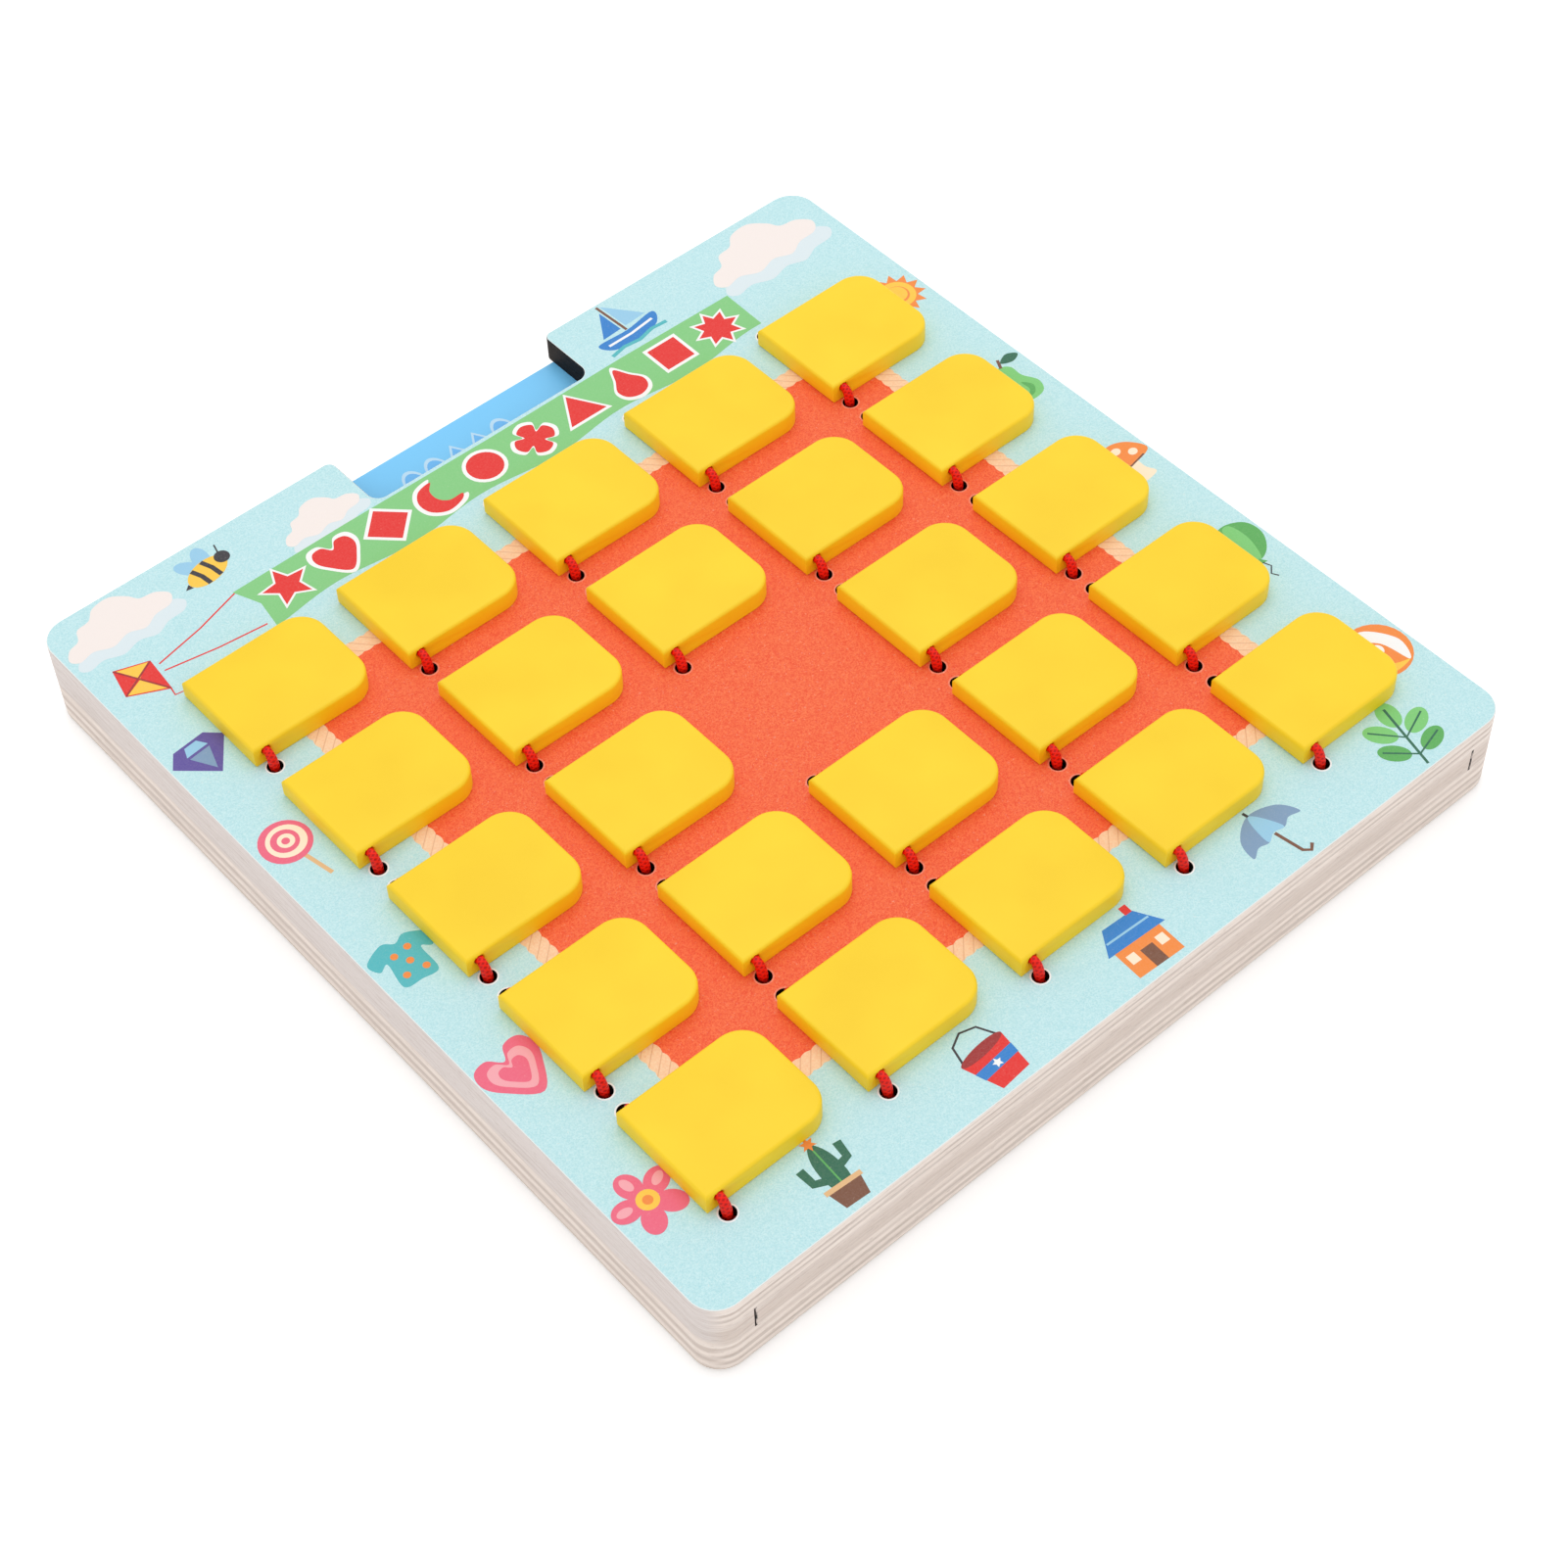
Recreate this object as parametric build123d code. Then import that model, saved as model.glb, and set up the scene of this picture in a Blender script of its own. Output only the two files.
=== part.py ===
from build123d import *
import os

# A wooden memory matching game. A bottom plate, three spacer rails and a top plate
# are glued into a flat board that is open at the back, where a stack of picture
# cards slides in under the top plate. Twenty-four flaps cover the round windows of
# the top plate. Each flap turns on a red cord that runs through it and is knotted
# under the plate at both ends.
# X runs along the front edge, Y to the back with the finger notch, Z up. The
# origin lies under the middle of the board, on the surface that it rests on.

# Driving dimensions in millimetres
corner_radius = 6.5
top_plate_thickness = 6.2
bottom_plate_thickness = 10.0
top_edge_round = 0.3
bottom_edge_round = 1.2

rail_width = 10.0
rail_joint_gap = 0.4

notch_width = 61.8
notch_depth = 17.5
notch_center_x = 0.3
notch_inner_radius = 3.0
notch_mouth_radius = 2.0

card_count = 4
card_thickness = 1.5
card_inset_at_back = 3.0
card_corner_radius = 4.0
card_side_clearance = 0.5
card_face_clearance = 0.08

# The grid of flaps, and the margins from its outer windows to the board's edges
columns = 5
rows = 5
empty_column = 3
empty_row = 3
gap_between_columns = 8.1
gap_between_rows = 10.1
left_margin = 29.75
right_margin = 28.25
front_margin = 31.25
back_margin = 50.55
window_diameter = 24.2

flap_width = 32.4
flap_length = 26.5
flap_thickness = 4.7
flap_rest_gap = 0.3
flap_corner_radius = 6.5
flap_top_round = 1.0
flap_shift_right = 0.85
flap_shift_back = 0.25
hinge_below_flap_top = 1.7
hinge_edge_clearance = 0.15
hinge_round_shortfall = 0.5
bore_clearance = 0.08
bore_mouth_chamfer = 0.3

cord_diameter = 2.1
cord_gap_at_front = 1.3
cord_gap_at_back = 0.1
cord_hole_clearance = 0.75
back_hole_behind_cord = 0.3
knot_diameter = 4.6
knot_height = 2.8
knot_round = 1.0
knot_side_clearance = 0.5
knot_seat_clearance = 0.1
knot_bottom_clearance = 0.7

# How near two places lie that count as the same one
same_place = 0.001

# Sizes of the board and its slot
column_pitch = flap_width + gap_between_columns
row_pitch = flap_length + gap_between_rows
board_width = left_margin + (columns - 1) * column_pitch + right_margin
board_depth = front_margin + (rows - 1) * row_pitch + back_margin
half_width = board_width / 2
half_depth = board_depth / 2
slot_height = card_count * (card_thickness + card_face_clearance) + card_face_clearance
slot_floor = bottom_plate_thickness
slot_ceiling = slot_floor + slot_height
board_top = slot_ceiling + top_plate_thickness

# Sizes of the hinges and of the cords' holes
hinge_height = flap_rest_gap + flap_thickness - hinge_below_flap_top
hinge_to_flap_edge = hinge_height - hinge_edge_clearance
hinge_bottom_round = hinge_height - hinge_round_shortfall
hinge_axis_z = board_top + hinge_height
window_to_hinge_x = flap_width / 2 - hinge_to_flap_edge - flap_shift_right
cord_bend_at_front = cord_gap_at_front + cord_diameter / 2
cord_bend_at_back = cord_gap_at_back + cord_diameter / 2
front_leg_y = -flap_length / 2 - cord_bend_at_front
back_leg_y = flap_length / 2 + cord_bend_at_back
back_hole_y = back_leg_y + back_hole_behind_cord
cord_hole_diameter = cord_diameter + 2 * cord_hole_clearance
knot_pocket_diameter = knot_diameter + 2 * knot_side_clearance
knot_pocket_depth = knot_seat_clearance + knot_height + knot_bottom_clearance
pocket_ceiling = slot_ceiling + knot_pocket_depth


# Where the windows and the hinges lie

def window_places():
    places = []
    for row in range(1, rows + 1):
        for column in range(1, columns + 1):
            if row == empty_row and column == empty_column:
                continue
            x = -half_width + left_margin + (column - 1) * column_pitch
            y = -half_depth + front_margin + (rows - row) * row_pitch
            places.append((row, column, x, y))
    return places


def hinge_place(window_x, window_y, height):
    return Pos(window_x - window_to_hinge_x, window_y + flap_shift_back, height)


# Outlines shared by the layers of the board

def board_outline():
    return RectangleRounded(board_width, board_depth, corner_radius)


def board_layer(bottom, thickness):
    return Pos(0, 0, bottom) * extrude(board_outline(), thickness)


def edges_at_height(solid, height):
    return solid.edges().filter_by_position(Axis.Z, height - same_place, height + same_place)


# Top plate, with the windows, the notch and the holes for the cords

def notch_cutter():
    back_reach = notch_mouth_radius
    length = notch_depth + back_reach
    middle_y = half_depth - notch_depth + length / 2
    cutter = Pos(notch_center_x, middle_y, slot_ceiling) * Box(
        notch_width, length, 3 * top_plate_thickness
    )
    front_edges = cutter.edges().filter_by(Axis.Z).sort_by(Axis.Y)[:2]
    return fillet(front_edges, notch_inner_radius)


def top_plate():
    plate = board_layer(slot_ceiling, top_plate_thickness) - notch_cutter()
    mouth_edges = (
        plate.edges()
        .filter_by(Axis.Z)
        .filter_by_position(Axis.Y, half_depth - same_place, half_depth + same_place)
        .filter_by_position(Axis.X, -notch_width, notch_width)
    )
    plate = fillet(mouth_edges, notch_mouth_radius)
    plate = fillet(edges_at_height(plate, board_top), top_edge_round)
    middle_z = slot_ceiling + top_plate_thickness / 2
    cuts = []
    for row, column, x, y in window_places():
        cuts.append(Pos(x, y, middle_z) * Cylinder(window_diameter / 2, 2 * top_plate_thickness))
        for hole_y in (front_leg_y, back_hole_y):
            hole = hinge_place(x, y, middle_z) * Pos(0, hole_y, 0)
            cuts.append(hole * Cylinder(cord_hole_diameter / 2, 2 * top_plate_thickness))
        for leg_y in (front_leg_y, back_leg_y):
            pocket = hinge_place(x, y, slot_ceiling) * Pos(0, leg_y, 0)
            cuts.append(pocket * Cylinder(knot_pocket_diameter / 2, 2 * knot_pocket_depth))
    return plate - cuts


# Spacer rails that leave the card slot open at the back

def side_rail(side):
    strip = Pos(side * (half_width - rail_width / 2), 0, slot_floor + slot_height / 2) * Box(
        rail_width, board_depth, slot_height
    )
    return strip & board_layer(slot_floor, slot_height)


def front_rail():
    length = board_width - 2 * rail_width - 2 * rail_joint_gap
    return Pos(0, -half_depth + rail_width / 2, slot_floor + slot_height / 2) * Box(
        length, rail_width, slot_height
    )


def bottom_plate():
    plate = board_layer(0, bottom_plate_thickness)
    return fillet(edges_at_height(plate, 0), bottom_edge_round)


# Picture cards, counted from the top of the stack

def picture_card(number):
    width = board_width - 2 * rail_width - 2 * card_side_clearance
    front = -half_depth + rail_width + card_side_clearance
    back = half_depth - card_inset_at_back
    top = slot_ceiling - card_face_clearance - (number - 1) * (card_thickness + card_face_clearance)
    outline = RectangleRounded(width, back - front, card_corner_radius)
    return Pos(0, (front + back) / 2, top - card_thickness) * extrude(outline, card_thickness)


# A flap, drawn with its hinge axis on the Y axis and its closed side to +X

def flap():
    left = -hinge_to_flap_edge
    bottom = flap_rest_gap - hinge_height
    top = bottom + flap_thickness
    block = Pos(left, 0, bottom) * Box(
        flap_width, flap_length, flap_thickness, align=(Align.MIN, Align.CENTER, Align.MIN)
    )
    free_corners = block.edges().filter_by(Axis.Z).sort_by(Axis.X)[-2:]
    block = fillet(free_corners, flap_corner_radius)
    block = fillet(edges_at_height(block, top), flap_top_round)
    hinge_edge = edges_at_height(block, bottom).sort_by(Axis.X)[0]
    block = fillet(hinge_edge, hinge_bottom_round)
    bore_radius = cord_diameter / 2 + bore_clearance
    block -= Rot(90, 0, 0) * Cylinder(bore_radius, 2 * flap_length)
    mouths = block.edges().filter_by(GeomType.CIRCLE).filter_by(
        lambda edge: abs(edge.radius - bore_radius) < same_place
    )
    return chamfer(mouths, bore_mouth_chamfer)


# A cord with its two knots, drawn round a hinge axis that lies on the Y axis. It hugs
# the back end of the flap and stands a little way out from the front end.

def hinge_cord():
    knot_top = pocket_ceiling - knot_seat_clearance - hinge_axis_z
    knot_middle = knot_top - knot_height / 2
    route = FilletPolyline(
        (0, front_leg_y, knot_middle),
        (0, front_leg_y, 0),
        (0, back_leg_y, 0),
        (0, back_leg_y, knot_middle),
        radius=(cord_bend_at_front, cord_bend_at_back),
    )
    start = Plane(origin=route @ 0, z_dir=route % 0)
    cord = sweep(start * Circle(cord_diameter / 2), path=route)
    for leg_y in (front_leg_y, back_leg_y):
        knot = Pos(0, leg_y, knot_middle) * Cylinder(knot_diameter / 2, knot_height)
        rims = knot.edges().filter_by(GeomType.CIRCLE)
        cord += fillet(rims, knot_round)
    return cord


# Writing the pieces

def write_piece(solid, name):
    solid.label = name
    export_step(solid, f"parts/{name}.step")


os.makedirs("parts", exist_ok=True)
write_piece(top_plate(), "top_plate")
write_piece(side_rail(-1), "left_rail")
write_piece(side_rail(1), "right_rail")
write_piece(front_rail(), "front_rail")
write_piece(bottom_plate(), "bottom_plate")
for number in range(1, card_count + 1):
    write_piece(picture_card(number), f"picture_card_{number}")
plain_flap = flap()
plain_cord = hinge_cord()
for row, column, x, y in window_places():
    hinge_axis = hinge_place(x, y, hinge_axis_z)
    write_piece(hinge_axis * plain_flap, f"flap_row{row}_col{column}")
    write_piece(hinge_axis * plain_cord, f"hinge_cord_row{row}_col{column}")
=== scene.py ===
import math

import bpy
import mathutils
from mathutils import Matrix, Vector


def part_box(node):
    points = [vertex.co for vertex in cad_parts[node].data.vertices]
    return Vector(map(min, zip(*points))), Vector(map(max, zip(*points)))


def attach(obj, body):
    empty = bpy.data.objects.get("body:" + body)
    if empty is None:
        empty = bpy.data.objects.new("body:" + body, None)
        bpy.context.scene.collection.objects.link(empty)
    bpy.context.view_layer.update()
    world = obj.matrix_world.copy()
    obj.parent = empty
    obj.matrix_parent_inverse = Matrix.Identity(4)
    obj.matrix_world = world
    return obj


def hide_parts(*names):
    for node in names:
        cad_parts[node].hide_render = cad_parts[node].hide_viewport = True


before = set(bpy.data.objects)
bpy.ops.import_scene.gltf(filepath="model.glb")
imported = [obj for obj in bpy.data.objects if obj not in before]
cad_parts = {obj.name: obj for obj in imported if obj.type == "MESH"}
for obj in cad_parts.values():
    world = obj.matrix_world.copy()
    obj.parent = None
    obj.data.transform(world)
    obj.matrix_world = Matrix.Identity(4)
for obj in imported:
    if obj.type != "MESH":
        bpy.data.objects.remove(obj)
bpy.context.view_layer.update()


# Viewpoint
# The camera hangs above the front left corner of the board and looks down on it,
# rolled a little, as the photograph shows it.
MM = 0.001
bpy.ops.object.select_all(action="DESELECT")
bpy.ops.object.camera_add(
    location=(-277.07 * MM, -344.81 * MM, 522.99 * MM),
    rotation=(math.radians(39.354), math.radians(1.442), math.radians(-41.113)),
)
camera = bpy.context.object
camera.name = "camera"
camera.data.sensor_width = 36.0
camera.data.lens = 71.587
bpy.context.scene.camera = camera
bpy.context.scene.view_settings.view_transform = "Standard"


# Studio
# A white table in a white room. The room gives most of the light, and one wide lamp
# overhead gives the soft shadows under the flaps.
room_light = 0.86
room_white = (1.0, 1.0, 1.0, 1.0)
table_width, table_drop, table_glow = 6.0, 0.1 * MM, 0.3
lamp_place, lamp_width, lamp_power = (0.25, 0.35, 1.5), 1.1, 4.6


def add_node(tree, kind, **settings):
    node = tree.nodes.new(kind)
    for name, value in settings.items():
        setattr(node, name, value)
    return node


def feed(tree, socket, value):
    if isinstance(value, bpy.types.NodeSocket):
        tree.links.new(value, socket)
    else:
        socket.default_value = value


def calc(tree, operation, *values):
    node = add_node(tree, "ShaderNodeMath", operation=operation)
    for socket, value in zip(node.inputs, values):
        feed(tree, socket, value)
    return node.outputs[0]


def seen_directly(tree):
    path = add_node(tree, "ShaderNodeLightPath")
    glossy = calc(tree, "MAXIMUM", path.outputs["Is Camera Ray"], path.outputs["Is Glossy Ray"])
    return calc(tree, "MAXIMUM", glossy, path.outputs["Is Transmission Ray"])


room = bpy.data.worlds.new("white_room")
room.use_nodes = True
room_tree = room.node_tree
backdrop = room_tree.nodes["Background"]
backdrop.inputs["Color"].default_value = room_white
direct = calc(room_tree, "MULTIPLY", seen_directly(room_tree), 1 - room_light)
feed(room_tree, backdrop.inputs["Strength"], calc(room_tree, "ADD", direct, room_light))
bpy.context.scene.world = room

bpy.ops.mesh.primitive_plane_add(size=table_width, location=(0, 0, -table_drop))
table = bpy.context.object
table.name = "white_table"
table_finish = bpy.data.materials.new("white_table_top")
table_finish.use_nodes = True
table_tree = table_finish.node_tree
table_shader = table_tree.nodes["Principled BSDF"]
table_shader.inputs["Base Color"].default_value = (0.9, 0.9, 0.9, 1.0)
table_shader.inputs["Roughness"].default_value = 0.9
table_shader.inputs["Specular IOR Level"].default_value = 0.1
table_shader.inputs["Emission Color"].default_value = room_white
glow = calc(table_tree, "MULTIPLY", seen_directly(table_tree), table_glow)
feed(table_tree, table_shader.inputs["Emission Strength"], glow)
table.data.materials.append(table_finish)

bpy.ops.object.light_add(type="AREA", location=lamp_place)
lamp = bpy.context.object
lamp.name = "overhead_lamp"
lamp.data.shape = "SQUARE"
lamp.data.size = lamp_width
lamp.data.energy = lamp_power
lamp.rotation_euler = (math.radians(-13), math.radians(9.5), 0)


# Bottom plate and spacer rails
# Birch plywood with pale veneer faces. The cut edges show the thin layers, every
# other one darker. The rails are glued between the plates and leave the card slot.
board_back_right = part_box("top_plate")[1]
board_height_mm = board_back_right.z / MM
left_joint_x, right_joint_x, joint_half_width = -99.65, 99.95, 0.35
spacer_middle, spacer_half_height = 13.2, 3.3


def screen_colour(red, green, blue):
    """A colour as a screen shows it, each part from 0 to 255, for a shader."""
    parts = []
    for level in (red, green, blue):
        share = level / 255
        parts.append(share / 12.92 if share <= 0.04045 else ((share + 0.055) / 1.055) ** 2.4)
    return (*parts, 1.0)


def between(tree, share, first, second):
    """The colour that lies the given share of the way from the first to the second."""
    share_socket, first_colour_socket, second_colour_socket, mixed_colour_socket = 0, 6, 7, 2
    node = add_node(tree, "ShaderNodeMix", data_type="RGBA")
    feed(tree, node.inputs[share_socket], share)
    feed(tree, node.inputs[first_colour_socket], first)
    feed(tree, node.inputs[second_colour_socket], second)
    return node.outputs[mixed_colour_socket]


def tinted(tree, pattern, strength, base, tint):
    """The base colour, with the tint over it at the given strength where the pattern is 1."""
    return between(tree, calc(tree, "MULTIPLY", pattern, strength), base, tint)


def place_in_mm(tree):
    """The place on the piece, in millimetres, as a vector and as x, y and z."""
    coordinates = add_node(tree, "ShaderNodeTexCoord")
    scaled = add_node(tree, "ShaderNodeVectorMath", operation="SCALE")
    tree.links.new(coordinates.outputs["Object"], scaled.inputs[0])
    scaled.inputs["Scale"].default_value = 1 / MM
    parts = add_node(tree, "ShaderNodeSeparateXYZ")
    tree.links.new(scaled.outputs[0], parts.inputs[0])
    return scaled.outputs[0], parts.outputs[0], parts.outputs[1], parts.outputs[2]


def grain(tree, place, per_mm, detail=3.0, roughness=0.55):
    """Noise from 0 to 1, with its own number of features per millimetre along each axis."""
    stretched = add_node(tree, "ShaderNodeVectorMath", operation="MULTIPLY")
    tree.links.new(place, stretched.inputs[0])
    stretched.inputs[1].default_value = per_mm
    noise = add_node(tree, "ShaderNodeTexNoise")
    tree.links.new(stretched.outputs[0], noise.inputs["Vector"])
    noise.inputs["Scale"].default_value = 1.0
    noise.inputs["Detail"].default_value = detail
    noise.inputs["Roughness"].default_value = roughness
    return noise.outputs[0]


def spread(tree, value, low, high):
    """The value's share of the way from low to high, held between 0 and 1."""
    node = add_node(tree, "ShaderNodeMapRange")
    feed(tree, node.inputs["Value"], value)
    node.inputs["From Min"].default_value = low
    node.inputs["From Max"].default_value = high
    return node.outputs[0]


def faces_along(tree, axis):
    """How squarely the surface faces along an axis, either way, from 0 to 1."""
    normal = add_node(tree, "ShaderNodeSeparateXYZ")
    geometry = add_node(tree, "ShaderNodeNewGeometry")
    tree.links.new(geometry.outputs["Normal"], normal.inputs[0])
    return calc(tree, "ABSOLUTE", normal.outputs[axis])


def faces_up_or_down(tree):
    """1 on a face that lies nearly level, and 0 on the edges and walls."""
    nearly_level = 0.8
    return calc(tree, "GREATER_THAN", faces_along(tree, 2), nearly_level)


def glued_layers(tree, height):
    """The colours of the cut layers up the front edge of the board, at a height in millimetres."""
    ramp = add_node(tree, "ShaderNodeValToRGB")
    tree.links.new(calc(tree, "DIVIDE", height, board_height_mm), ramp.inputs[0])
    pale, middling = screen_colour(252, 238, 228), screen_colour(236, 221, 211)
    dim, dusky = screen_colour(227, 211, 200), screen_colour(217, 201, 190)
    # The lowest half millimetre of the edge, fading out by one millimetre, is painted shade where the
    # bottom edge turns down to the table.
    painted_bottom_shade = screen_colour(196, 180, 168)
    layers = [
        (0.5, painted_bottom_shade), (1.0, dim), (1.5, pale), (2.1, pale), (2.7, dusky), (3.2, dusky), (3.8, pale),
        (4.5, pale), (5.1, dusky), (5.7, dusky), (6.4, pale), (7.1, pale), (7.8, dim), (8.4, dim),
        (9.0, pale), (9.5, pale), (10.3, dim), (13.5, dim), (16.1, middling), (16.9, pale), (17.6, pale),
        (18.0, dusky), (18.4, dusky), (18.8, pale), (19.5, pale), (19.9, dusky), (20.3, dusky),
        (20.7, pale),
    ]
    elements = ramp.color_ramp.elements
    for element, (layer_height, colour) in zip(elements, (layers[0], layers[-1])):
        element.position = layer_height / board_height_mm
        element.color = colour
    for layer_height, colour in layers[1:-1]:
        elements.new(layer_height / board_height_mm).color = colour
    return ramp.outputs[0]


def plywood_colour(tree, place, z):
    """Layers on the cut edges, wider and plain at the top on the sides, and veneer on the faces."""
    waver_depth, side_stretch, side_plain_from, side_plain_to = 0.6, 1.42, 10.4, 11.6
    waver = calc(tree, "SUBTRACT", grain(tree, place, (0.05, 0.05, 0.25)), 0.5)
    height = calc(tree, "ADD", z, calc(tree, "MULTIPLY", waver, waver_depth))
    side_layers = glued_layers(tree, calc(tree, "DIVIDE", height, side_stretch))
    plain_part = spread(tree, z, side_plain_from, side_plain_to)
    side_layers = between(tree, plain_part, side_layers, screen_colour(231, 220, 215))
    on_side = spread(tree, faces_along(tree, 0), 0.5, 0.85)
    edge = between(tree, on_side, glued_layers(tree, height), side_layers)
    streaks = spread(tree, grain(tree, place, (0.06, 0.06, 1.5), detail=5.0, roughness=0.65), 0.46, 0.68)
    edge = tinted(tree, streaks, 0.4, edge, screen_colour(184, 164, 152))
    pores = spread(tree, grain(tree, place, (0.4, 0.4, 3.4), detail=5.0, roughness=0.7), 0.56, 0.7)
    edge = tinted(tree, pores, 0.6, edge, screen_colour(168, 146, 132))
    fibres = spread(tree, grain(tree, place, (0.12, 0.12, 3.2), detail=4.0, roughness=0.7), 0.5, 0.68)
    edge = tinted(tree, fibres, 0.3, edge, screen_colour(255, 250, 244))
    lines = spread(tree, grain(tree, place, (0.02, 0.55, 0.5), detail=5.0, roughness=0.62), 0.35, 0.7)
    veneer = between(tree, lines, screen_colour(242, 228, 212), screen_colour(221, 198, 174))
    return between(tree, faces_up_or_down(tree), edge, veneer)


def roughen(tree, shader, height, depth_mm):
    bump = add_node(tree, "ShaderNodeBump")
    feed(tree, bump.inputs["Height"], height)
    bump.inputs["Strength"].default_value = 1.0
    bump.inputs["Distance"].default_value = depth_mm * MM
    tree.links.new(bump.outputs[0], shader.inputs["Normal"])


def new_finish(name, roughness):
    finish = bpy.data.materials.new(name)
    finish.use_nodes = True
    shader = finish.node_tree.nodes["Principled BSDF"]
    shader.inputs["Roughness"].default_value = roughness
    return finish, finish.node_tree, shader


def dress(node_name, finish):
    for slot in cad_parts[node_name].material_slots:
        slot.material = finish


plywood, tree, shader = new_finish("birch_plywood", 0.62)
place, x, y, z = place_in_mm(tree)
left_joint = calc(tree, "COMPARE", x, left_joint_x, joint_half_width)
right_joint = calc(tree, "COMPARE", x, right_joint_x, joint_half_width)
in_spacer = calc(tree, "COMPARE", z, spacer_middle, spacer_half_height)
burnt_joint = calc(tree, "MULTIPLY", in_spacer, calc(tree, "MAXIMUM", left_joint, right_joint))
ragged = spread(tree, grain(tree, place, (1.4, 1.4, 0.5), detail=2.0), 0.36, 0.5)
burnt_joint = calc(tree, "MULTIPLY", burnt_joint, ragged)
wood = between(tree, burnt_joint, plywood_colour(tree, place, z), screen_colour(52, 44, 42))
feed(tree, shader.inputs["Base Color"], wood)
roughen(tree, shader, grain(tree, place, (0.6, 0.6, 4.0)), 0.06)
for node_name in ("bottom_plate", "left_rail", "right_rail", "front_rail"):
    dress(node_name, plywood)


# Picture cards
# Four stiff cards in the slot, each with its own ground colour and twelve pairs of
# pictures, one picture under each window. All pictures, here and on the top plate, are
# thin films of ink: outlines drawn in millimetres round the picture's middle.
columns, rows = 5, 5
empty_column, empty_row = 3, 3
column_pitch, row_pitch = 40.5, 36.6
first_window_x, last_window_y = -80.25, -82.85
pairs_per_card = 12
# Each film of ink lies a step above those under it, and the first a little under a step
ink_step, ink_thickness, ink_drop = 0.007, 0.004, 0.004

red, deep_red = screen_colour(230, 22, 14), screen_colour(158, 20, 24)
pink, rose = screen_colour(248, 168, 178), screen_colour(240, 98, 128)
orange, yellow = screen_colour(246, 138, 48), screen_colour(255, 202, 60)
green, leaf_green = screen_colour(122, 204, 116), screen_colour(84, 172, 84)
dark_green, teal = screen_colour(16, 100, 72), screen_colour(72, 184, 192)
blue, pale_blue = screen_colour(24, 126, 206), screen_colour(150, 204, 234)
grey_blue, purple = screen_colour(124, 156, 190), screen_colour(88, 72, 156)
brown, sand = screen_colour(118, 70, 44), screen_colour(230, 184, 130)
cream, white, dark = screen_colour(255, 236, 208), screen_colour(250, 250, 250), screen_colour(34, 30, 42)


def rotated(across, up, turn):
    return across * math.cos(turn) - up * math.sin(turn), across * math.sin(turn) + up * math.cos(turn)


def oval(x, y, half_wide, half_high, turn=0.0, points=28):
    outline = []
    for step in range(points):
        angle = 2 * math.pi * step / points
        across, up = rotated(half_wide * math.cos(angle), half_high * math.sin(angle), turn)
        outline.append((x + across, y + up))
    return outline


def spiky(x, y, outer, inner, spikes, turn=math.pi / 2):
    outline = []
    for step in range(2 * spikes):
        angle, reach = turn + math.pi * step / spikes, inner if step % 2 else outer
        outline.append((x + reach * math.cos(angle), y + reach * math.sin(angle)))
    return outline


def regular(x, y, reach, corners, turn=math.pi / 2):
    angles = [turn + 2 * math.pi * step / corners for step in range(corners)]
    return [(x + reach * math.cos(angle), y + reach * math.sin(angle)) for angle in angles]


def flowing(*corners):
    """A smooth closed outline through the given places."""
    outline, steps = [], 6
    for number in range(len(corners)):
        neighbours = [corners[(number + shift) % len(corners)] for shift in (-1, 0, 1, 2)]
        for step in range(steps):
            t = step / steps
            outline.append(tuple(
                0.5 * (
                    2 * start + (stop - before) * t
                    + (2 * before - 5 * start + 4 * stop - after) * t ** 2
                    + (3 * start - before - 3 * stop + after) * t ** 3
                )
                for before, start, stop, after in zip(*neighbours)
            ))
    return outline


def stroke(width, *places):
    """The outline of a line of that width along the given places."""
    left, right = [], []
    for number, (x, y) in enumerate(places):
        from_x, from_y = places[max(number - 1, 0)]
        to_x, to_y = places[min(number + 1, len(places) - 1)]
        length = math.hypot(to_x - from_x, to_y - from_y)
        side_x, side_y = -(to_y - from_y) / length * width / 2, (to_x - from_x) / length * width / 2
        left.append((x + side_x, y + side_y))
        right.append((x - side_x, y - side_y))
    return right + left[::-1]


def grown(outline, share, x=0.0, y=0.0):
    return [(x + (px - x) * share, y + (py - y) * share) for px, py in outline]


def select_only(*pieces):
    bpy.ops.object.select_all(action="DESELECT")
    for piece in pieces:
        piece.select_set(True)
    bpy.context.view_layer.objects.active = pieces[0]


def joined(pieces, name):
    select_only(*pieces)
    bpy.ops.object.join()
    whole = bpy.context.object
    whole.name = name
    return whole


def window_places():
    """Each window's row and column, with its middle in millimetres."""
    for row in range(1, rows + 1):
        for column in range(1, columns + 1):
            if (row, column) != (empty_row, empty_column):
                x = first_window_x + (column - 1) * column_pitch
                yield row, column, x, last_window_y + (rows - row) * row_pitch


printed_ink, tree, shader = new_finish("printed_ink", 0.6)
ink_colour = add_node(tree, "ShaderNodeVertexColor", layer_name="ink").outputs["Color"]
place, x, y, z = place_in_mm(tree)
sanded = grain(tree, place, (2.2, 2.2, 2.2), detail=4.0, roughness=0.7)
mottling = spread(tree, sanded, 0.3, 0.7)
worn = spread(tree, grain(tree, place, (1.5, 1.5, 1.5), detail=3.0, roughness=0.8), 0.62, 0.74)
ink_colour = tinted(tree, mottling, 0.05, ink_colour, screen_colour(255, 244, 236))
ink_colour = tinted(tree, worn, 0.16, ink_colour, screen_colour(255, 240, 226))
feed(tree, shader.inputs["Base Color"], ink_colour)
roughen(tree, shader, sanded, 0.03)


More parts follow.
